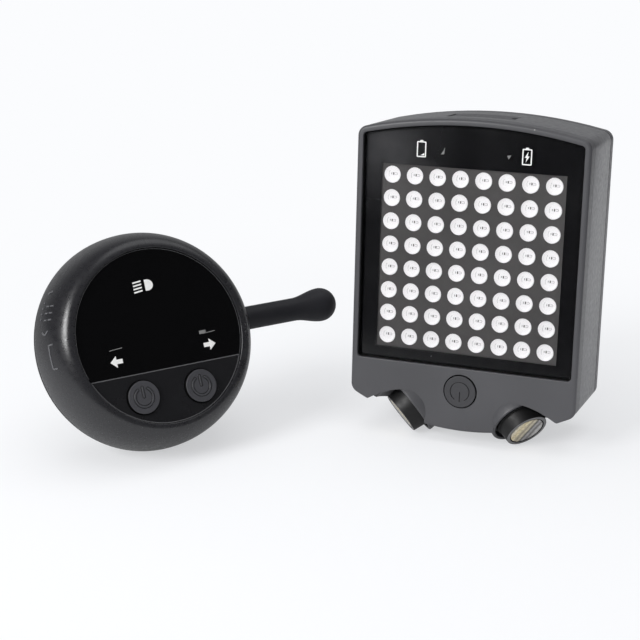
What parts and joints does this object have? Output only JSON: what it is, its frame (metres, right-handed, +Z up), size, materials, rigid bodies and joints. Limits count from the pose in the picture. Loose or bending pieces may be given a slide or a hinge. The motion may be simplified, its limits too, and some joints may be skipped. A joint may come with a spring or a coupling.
{
  "type": "bicycle turn signal light",
  "caption": "Rear bicycle light with a square LED matrix and two lane lasers, with its round handlebar remote that has turn buttons, a twist-off base and a strap.",
  "frame": {"origin": "middle of the floor rectangle under the light and its remote as they stand side by side", "axes": "+Z up, the light's face towards -Y with a slight backward lean, +X to the right as seen from the front"},
  "size_m": [0.1223, 0.0778, 0.0765],
  "materials": {
    "housing_plastic": "satin moulded",
    "shell_plastic": "satin moulded",
    "cover_plastic": "satin moulded",
    "window_acrylic": "polished smoked",
    "mask_plastic": "matt",
    "led_white": "silicone filled",
    "indicator_led": "clear",
    "circuit_board": "solder mask",
    "seal_rubber": "matt",
    "steel": "plated",
    "spacer_nylon": "matt",
    "battery_foil": "foil wrap",
    "cover_rubber": "matt",
    "button_rubber": "matt",
    "switch_plastic": "matt",
    "barrel_plastic": "satin",
    "brass": "turned",
    "lens_acrylic": "ribbed line lens",
    "remote_plastic": "satin moulded",
    "remote_gloss": "polished",
    "key_plastic": "satin",
    "key_rubber": "matt",
    "base_plastic": "satin moulded",
    "strap_silicone": "dusty matt"
  },
  "bodies": {
    "light": {"front_frame": "housing_plastic", "rear_shell": "shell_plastic", "back_cover": "cover_plastic", "case_seal": "seal_rubber", "cover_screws": "steel", "window_panel": "window_acrylic", "led_mask": "mask_plastic", "matrix_leds": "led_white", "indicator_leds": "indicator_led", "led_board": "circuit_board", "board_spacers": "spacer_nylon", "control_board": "circuit_board", "battery_pad": "seal_rubber", "battery_pack": "battery_foil", "usb_socket": "steel", "button_switch": "switch_plastic", "laser_barrel_left": "barrel_plastic", "laser_barrel_right": "barrel_plastic", "laser_module_left": "brass", "laser_module_right": "brass", "laser_lens_left": "lens_acrylic", "laser_lens_right": "lens_acrylic"},
    "power_button": {"power_button": "button_rubber"},
    "usb_cover": {"usb_cover": "cover_rubber"},
    "remote": {"remote_shell": "remote_plastic", "remote_window": "remote_gloss", "key_plate": "key_plastic", "remote_board": "circuit_board", "remote_switches": "switch_plastic", "remote_leds": "indicator_led", "remote_screws": "steel", "battery_holder": "switch_plastic", "coin_cell": "steel", "battery_contact": "brass"},
    "left_button": {"left_button": "key_rubber"},
    "right_button": {"right_button": "key_rubber"},
    "base": {"remote_base": "base_plastic", "base_gasket": "seal_rubber", "strap_pin": "steel"},
    "strap": {"strap": "strap_silicone"}
  },
  "joints": [
    {"name": "power_button_press", "type": "slide", "parent": "light", "child": "power_button", "axis": [0, 0.9962, -0.0872], "range_m": [0, 0.0006], "stiffness_N_per_m": 1500, "springref_m": -0.0004},
    {"name": "usb_cover_hinge", "type": "hinge", "parent": "light", "child": "usb_cover", "pos_m": [0.02608, 0.02562, 0.07467], "axis": [0, -0.9962, 0.0872], "range_deg": [0, 90]},
    {"name": "remote_lift", "type": "slide", "parent": "light", "child": "remote", "axis": [0, 0, 1], "range_m": [0, 0.1]},
    {"name": "left_button_press", "type": "slide", "parent": "remote", "child": "left_button", "axis": [-0.7242, 0.5557, -0.4083], "range_m": [0, 0.0005], "stiffness_N_per_m": 1500, "springref_m": -0.0004},
    {"name": "right_button_press", "type": "slide", "parent": "remote", "child": "right_button", "axis": [-0.7242, 0.5557, -0.4083], "range_m": [0, 0.0005], "stiffness_N_per_m": 1500, "springref_m": -0.0004},
    {"name": "base_twist", "type": "hinge", "parent": "remote", "child": "base", "pos_m": [-0.03868, -0.01303, 0.02392], "axis": [0.7242, -0.5557, 0.4083], "range_deg": [0, 30]},
    {"name": "strap_swing", "type": "hinge", "parent": "base", "child": "strap", "pos_m": [-0.02871, 0.00579, 0.02376], "axis": [-0.324, 0.2486, 0.9128], "range_deg": [0, 90], "stiffness_Nm_per_rad": 0.01, "springref_deg": -2.86}
  ]
}
